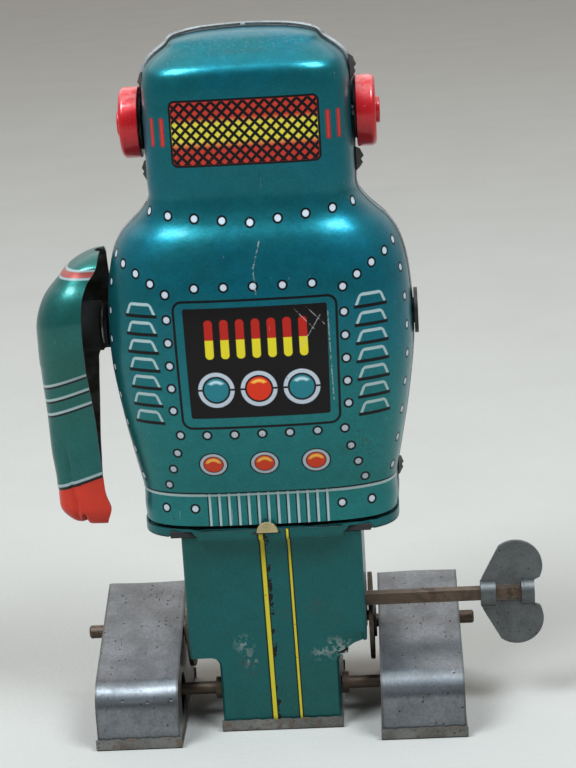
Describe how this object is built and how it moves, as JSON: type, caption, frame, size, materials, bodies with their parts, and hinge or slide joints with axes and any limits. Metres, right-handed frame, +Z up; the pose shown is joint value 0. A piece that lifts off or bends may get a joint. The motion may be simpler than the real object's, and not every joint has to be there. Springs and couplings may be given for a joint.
{
  "type": "tin wind-up walking robot",
  "caption": "Lacquered tinplate walking robot with folded body shells, red ear discs, one swinging arm, a leg block with clockwork, a winding key and crank-driven feet.",
  "frame": {"origin": "centre of the leg block's sole, on the surface that the robot stands on", "axes": "+Z up, the robot faces -Y, its own left side with the key is +X"},
  "size_m": [0.0985, 0.041, 0.141],
  "materials": {
    "teal_lacquer": "translucent metallic teal lacquer on tinplate with printed detail",
    "red_lacquer": "glossy red lacquer",
    "bare_tin": "dull, scratched bare tinplate",
    "steel": "plain clockwork steel",
    "rusty_steel": "brown rusted steel rod",
    "brass": "dull brass",
    "black_lacquer": "black"
  },
  "bodies": {
    "torso": {"front_shell": "teal_lacquer", "rear_shell": "teal_lacquer", "torso_floor": "teal_lacquer", "seam_tabs": "bare_tin", "ear_left": "red_lacquer", "ear_right": "red_lacquer", "ear_washers": "black_lacquer", "shoulder_bush_left": "black_lacquer", "shoulder_bush_right": "black_lacquer", "shoulder_washer": "steel", "leg_front_panel": "teal_lacquer", "leg_rear_panel": "teal_lacquer", "leg_sole": "bare_tin", "frame_tab": "brass", "motor_plate_left": "steel", "motor_plate_right": "steel", "frame_pillars": "steel", "guide_rod": "rusty_steel", "rod_collars": "rusty_steel", "mainspring": "steel", "spring_post": "steel"},
    "arm": {"arm_shell": "teal_lacquer", "arm_hub": "black_lacquer", "arm_pivot": "rusty_steel"},
    "key": {"winding_shaft": "rusty_steel", "key_wing": "bare_tin", "ratchet_wheel": "steel"},
    "great_gear": {"great_wheel": "brass", "click_rivet": "brass", "click_spring": "steel"},
    "click": {"click": "steel"},
    "second_gear": {"second_arbor": "steel", "second_pinion": "steel", "second_wheel": "brass"},
    "escape_gear": {"escape_arbor": "steel", "escape_pinion": "steel", "escape_wheel": "brass"},
    "rocker": {"anchor": "steel", "anchor_arbor": "steel"},
    "cranks": {"crank_axle": "rusty_steel", "crank_pinion": "steel", "crank_disc_left": "rusty_steel", "crank_disc_right": "rusty_steel", "crank_pin_left": "rusty_steel", "crank_pin_right": "rusty_steel", "crank_collars": "rusty_steel"},
    "foot_left": {"foot_cover_left": "bare_tin", "foot_sole_left": "bare_tin"},
    "foot_right": {"foot_cover_right": "bare_tin", "foot_sole_right": "bare_tin"}
  },
  "joints": [
    {"name": "crank_turn", "type": "hinge", "parent": "torso", "child": "cranks", "pos_m": [0, 0.0035, 0.0172], "axis": [1, 0, 0], "continuous": true},
    {"name": "second_turn", "type": "hinge", "parent": "torso", "child": "second_gear", "pos_m": [0, 0.00329, 0.0262], "axis": [1, 0, 0], "continuous": true},
    {"name": "great_turn", "type": "hinge", "parent": "torso", "child": "great_gear", "pos_m": [0, -0.005, 0.0243], "axis": [1, 0, 0], "continuous": true},
    {"name": "key_turn", "type": "hinge", "parent": "torso", "child": "key", "pos_m": [0, -0.005, 0.0243], "axis": [1, 0, 0], "continuous": true},
    {"name": "escape_turn", "type": "hinge", "parent": "torso", "child": "escape_gear", "pos_m": [0, 0.00109, 0.03441], "axis": [1, 0, 0], "continuous": true},
    {"name": "anchor_rock", "type": "hinge", "parent": "torso", "child": "rocker", "pos_m": [0, 0.00827, 0.03314], "axis": [1, 0, 0], "range_deg": [-4, 4]},
    {"name": "click_lift", "type": "hinge", "parent": "great_gear", "child": "click", "pos_m": [0, -0.0097, 0.02259], "axis": [1, 0, 0], "range_deg": [-12, 0], "stiffness_Nm_per_rad": 0.00002},
    {"name": "foot_left_level", "type": "hinge", "parent": "cranks", "child": "foot_left", "pos_m": [0.0285, 0.0005, 0.0172], "axis": [1, 0, 0], "continuous": true},
    {"name": "foot_right_level", "type": "hinge", "parent": "cranks", "child": "foot_right", "pos_m": [-0.0285, 0.0005, 0.0172], "axis": [1, 0, 0], "continuous": true},
    {"name": "arm_swing", "type": "hinge", "parent": "torso", "child": "arm", "pos_m": [-0.035, 0, 0.0827], "axis": [1, 0, 0], "continuous": true}
  ],
  "couplings": [
    {"joint": "second_turn", "follows": "crank_turn", "ratio": -0.38462},
    {"joint": "great_turn", "follows": "crank_turn", "ratio": 0.11834},
    {"joint": "key_turn", "follows": "crank_turn", "ratio": 0.11834},
    {"joint": "escape_turn", "follows": "crank_turn", "ratio": 1.25},
    {"joint": "foot_left_level", "follows": "crank_turn", "ratio": -1},
    {"joint": "foot_right_level", "follows": "crank_turn", "ratio": -1}
  ]
}
